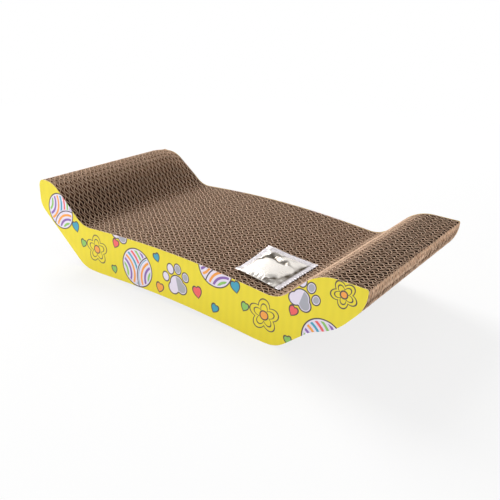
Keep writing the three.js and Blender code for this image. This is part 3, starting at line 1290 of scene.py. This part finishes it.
def make_catnip(sachet, pouch, leaf):
    """A lumpy heap between the webs, with loose flakes on it."""
    chance = np.random.default_rng(sachet.seed)
    flat = flat_places(pouch)
    upper = flat[:, 2] > 0.5
    ceiling_places = vertex_places(pouch)[upper]
    gap = sachet.web_thickness + sachet.clearance / 2
    floor = sachet.web_thickness + gap

    def room_at(points):
        """Height of the pouch's upper web over a few points of the sachet."""
        return np.array([
            ceiling_places[np.argmin(((ceiling_places[:, :2] - point) ** 2).sum(1)), 2] for point in points
        ])

    margin = 0.007
    spread = np.array([
        sachet.width - sachet.left_seal - sachet.right_seal - 2 * margin,
        sachet.depth - sachet.front_fold - sachet.back_seal - 2 * margin,
    ])
    corner = np.array([
        sachet.left_seal + margin - sachet.width / 2, sachet.front_fold + margin - sachet.depth / 2,
    ])

    def heap_top(shares):
        """The heap falls off to its rim and has lumps."""
        lump_scale = 220
        lumpiness = 0.25
        at_rim = 0.12
        in_middle = 0.5
        ground = corner + shares * spread
        edge = smooth_step(np.min(np.column_stack([shares, 1 - shares]), axis=1), 0, 0.3)
        lump = np.array([noise.noise(Vector((*point, 0)) * lump_scale) for point in ground])
        rise = (room_at(ground) - gap - floor) * (at_rim + in_middle * edge) * (1 + lumpiness * lump)
        return ground, floor + np.maximum(rise, gap)

    columns = 22
    rows = 24
    webs = []
    for side in (0, 1):
        web = add_grid(columns, rows, "web", [leaf])
        ground, top = heap_top(vertex_places(web)[:, :2])
        move_vertices(web, np.column_stack([ground, top if side else np.full(len(top), floor)]))
        webs.append(web)
    heap = close_webs(webs, "heap")
    bare_rim = 0.06
    tilt = 0.25
    full_turn = 6.3
    smallest = 0.6
    largest = 1.1
    first = make_flake(sachet, leaf)
    shape = vertex_places(first)
    grounds, tops = heap_top(chance.uniform(bare_rim, 1 - bare_rim, (sachet.flake_count, 2)))
    rooms = room_at(grounds) - gap
    flakes = []
    for ground, top, room in zip(grounds, tops, rooms):
        lie = Euler((chance.uniform(-tilt, tilt), chance.uniform(-tilt, tilt), chance.uniform(0, full_turn)))
        turned = shape @ np.array(lie.to_matrix()).T * chance.uniform(smallest, largest)
        height = min(top, room - turned[:, 2].max())
        if height + turned[:, 2].min() < floor:
            continue
        flake = first.copy()
        flake.data = first.data.copy()
        bpy.context.scene.collection.objects.link(flake)
        move_vertices(flake, turned + (*ground, height))
        flakes.append(flake)
    bpy.data.objects.remove(first)
    return join_pieces([heap, *flakes], "dried_catnip")


class LOUNGE_OT_sachet(bpy.types.Operator):
    """Lays the foil sachet of catnip on the seat"""

    bl_idname = "lounge.sachet"
    bl_label = "Foil sachet"

    def execute(self, context):
        sachet = settings().sachet
        outline = Outline(settings().outline)
        pouch = make_pouch(sachet, foil_material(settings().colours, sachet))
        catnip = make_catnip(sachet, pouch, leaf_material(settings().colours))
        lay_on_seat(pouch, sachet, outline)
        lay_on_seat(catnip, sachet, outline)
        smooth_by_angle(pouch, 60)
        smooth_by_angle(catnip, 40)
        hand_over(pouch, "sachet", "foil", "sachet_back_foil", "sachet_front_foil")
        hand_over(catnip, "sachet", "dried_leaf", "catnip")
        return {"FINISHED"}


class LOUNGE_OT_studio(bpy.types.Operator):
    """Sets the floor, the lamps and the camera"""

    bl_idname = "lounge.studio"
    bl_label = "Studio"

    def execute(self, context):
        studio = settings().studio
        make_floor(studio)
        light_world(studio)
        strip = (studio.strip_length, studio.strip_height)
        add_softbox("softbox_overhead", studio.key_place, studio.key_size, studio.key_size, studio.key_power)
        add_softbox("strip_light_front", studio.front_place, *strip, studio.front_power)
        add_softbox("strip_light_side", studio.side_place, *strip, studio.side_power)
        add_camera(studio)
        context.scene.view_settings.view_transform = "Standard"
        return {"FINISHED"}


def seen_directly(tree):
    """1 for rays from the camera and for those that metal or glass sends on."""
    path = add_node(tree, "LightPath").outputs
    camera = Term(tree, path["Is Camera Ray"])
    glossy = Term(tree, path["Is Glossy Ray"])
    passed = Term(tree, path["Is Transmission Ray"])
    return camera.most(glossy).most(passed)


def make_floor(studio):
    """A pale floor that shows the lounge's shadow near it and is plain white further out."""
    deselect_all()
    bpy.ops.mesh.primitive_circle_add(vertices=96, radius=studio.floor_radius, fill_type="NGON")
    floor = bpy.context.object
    floor.name = "studio_floor"
    material = bpy.data.materials.new("studio_floor")
    material.use_nodes = True
    tree = material.node_tree
    tree.nodes.clear()
    position = add_node(tree, "TexCoord").outputs["Object"]
    reach = Term(tree, add_node(tree, "VectorMath", {0: position}, operation="LENGTH").outputs["Value"])
    fade_end = 2 * studio.shadow_radius
    plain = remap(tree, reach, studio.shadow_radius, fade_end, interpolation_type="SMOOTHSTEP")
    surface = add_node(tree, "BsdfDiffuse", {"Color": settings().colours.floor}).outputs[0]
    bright = add_node(tree, "BsdfDiffuse", {"Color": (1, 1, 1)}).outputs[0]
    white = add_node(tree, "Emission", {"Color": (1, 1, 1), "Strength": 1.0}).outputs[0]
    share = (1 - plain) * studio.shadow_depth
    near = add_node(tree, "MixShader", {"Fac": share, 1: white, 2: bright}).outputs[0]
    shown = add_node(tree, "MixShader", {"Fac": seen_directly(tree), 1: surface, 2: near}).outputs[0]
    output = add_node(tree, "OutputMaterial", {"Surface": shown})
    output.is_active_output = True
    floor.data.materials.append(material)


def light_world(studio):
    """Even light from all round, and a white backdrop under a darker ceiling where rays see it."""
    world = bpy.data.worlds.new("studio_world")
    world.use_nodes = True
    tree = world.node_tree
    way = add_node(tree, "TexCoord").outputs["Generated"]
    up = Term(tree, add_node(tree, "SeparateXYZ", {"Vector": way}).outputs["Z"])
    backdrop_top = math.sin(math.radians(40))
    ceiling_start = math.sin(math.radians(75))
    ceiling = remap(tree, up, backdrop_top, ceiling_start, interpolation_type="SMOOTHSTEP")
    seen = 1 - ceiling * (1 - studio.ceiling)
    shown = seen_directly(tree)
    level = shown * seen + (1 - shown) * studio.fill_strength
    feed(tree, tree.nodes["Background"].inputs["Color"], (1, 1, 1))
    feed(tree, tree.nodes["Background"].inputs["Strength"], level)
    bpy.context.scene.world = world


def add_softbox(name, place, length, height, power):
    """A large lamp that faces the lounge."""
    lamp = bpy.data.lights.new(name, "AREA")
    lamp.shape = "RECTANGLE"
    lamp.size = length
    lamp.size_y = height
    lamp.energy = power
    softbox = bpy.data.objects.new(name, lamp)
    bpy.context.scene.collection.objects.link(softbox)
    softbox.visible_camera = False
    softbox.location = place
    target = (cad_low + cad_high) / 2
    softbox.rotation_euler = (target - softbox.location).to_track_quat("-Z", "Y").to_euler()


def add_camera(studio):
    data = bpy.data.cameras.new("camera")
    data.lens = studio.lens
    camera = bpy.data.objects.new("camera", data)
    bpy.context.scene.collection.objects.link(camera)
    turn = Matrix.Rotation(studio.camera_yaw, 4, "Z")
    tilt = Matrix.Rotation(math.pi / 2 - studio.camera_pitch, 4, "X")
    roll = Matrix.Rotation(studio.camera_roll, 4, "Z")
    camera.matrix_world = Matrix.Translation(studio.camera_place) @ turn @ tilt @ roll
    bpy.context.scene.camera = camera


class LoungeSettings(bpy.types.PropertyGroup):
    """All that a user would change."""

    outline: bpy.props.PointerProperty(type=LoungeOutline)
    card: bpy.props.PointerProperty(type=LoungeCard)
    sachet: bpy.props.PointerProperty(type=LoungeSachet)
    colours: bpy.props.PointerProperty(type=LoungeColours)
    studio: bpy.props.PointerProperty(type=LoungeStudio)


class LOUNGE_PT_panel(bpy.types.Panel):
    """Lists the pieces in the 3D view's sidebar"""

    bl_label = "Cat scratcher lounge"
    bl_idname = "LOUNGE_PT_panel"
    bl_space_type = "VIEW_3D"
    bl_region_type = "UI"
    bl_category = "Lounge"

    def draw(self, context):
        for operator in OPERATORS:
            self.layout.operator(operator.bl_idname)


OPERATORS = (LOUNGE_OT_boards, LOUNGE_OT_prints, LOUNGE_OT_sachet, LOUNGE_OT_studio)
CLASSES = (
    LoungeOutline, LoungeCard, LoungeSachet, LoungeColours, LoungeStudio, LoungeSettings,
    *OPERATORS, LOUNGE_PT_panel,
)


def register():
    for item in CLASSES:
        bpy.utils.register_class(item)
    bpy.types.Scene.lounge = bpy.props.PointerProperty(type=LoungeSettings)


def unregister():
    del bpy.types.Scene.lounge
    for item in reversed(CLASSES):
        bpy.utils.unregister_class(item)


def main():
    register()
    bpy.ops.lounge.boards()
    bpy.ops.lounge.prints()
    bpy.ops.lounge.sachet()
    bpy.ops.lounge.studio()


if __name__ == "__main__":
    main()
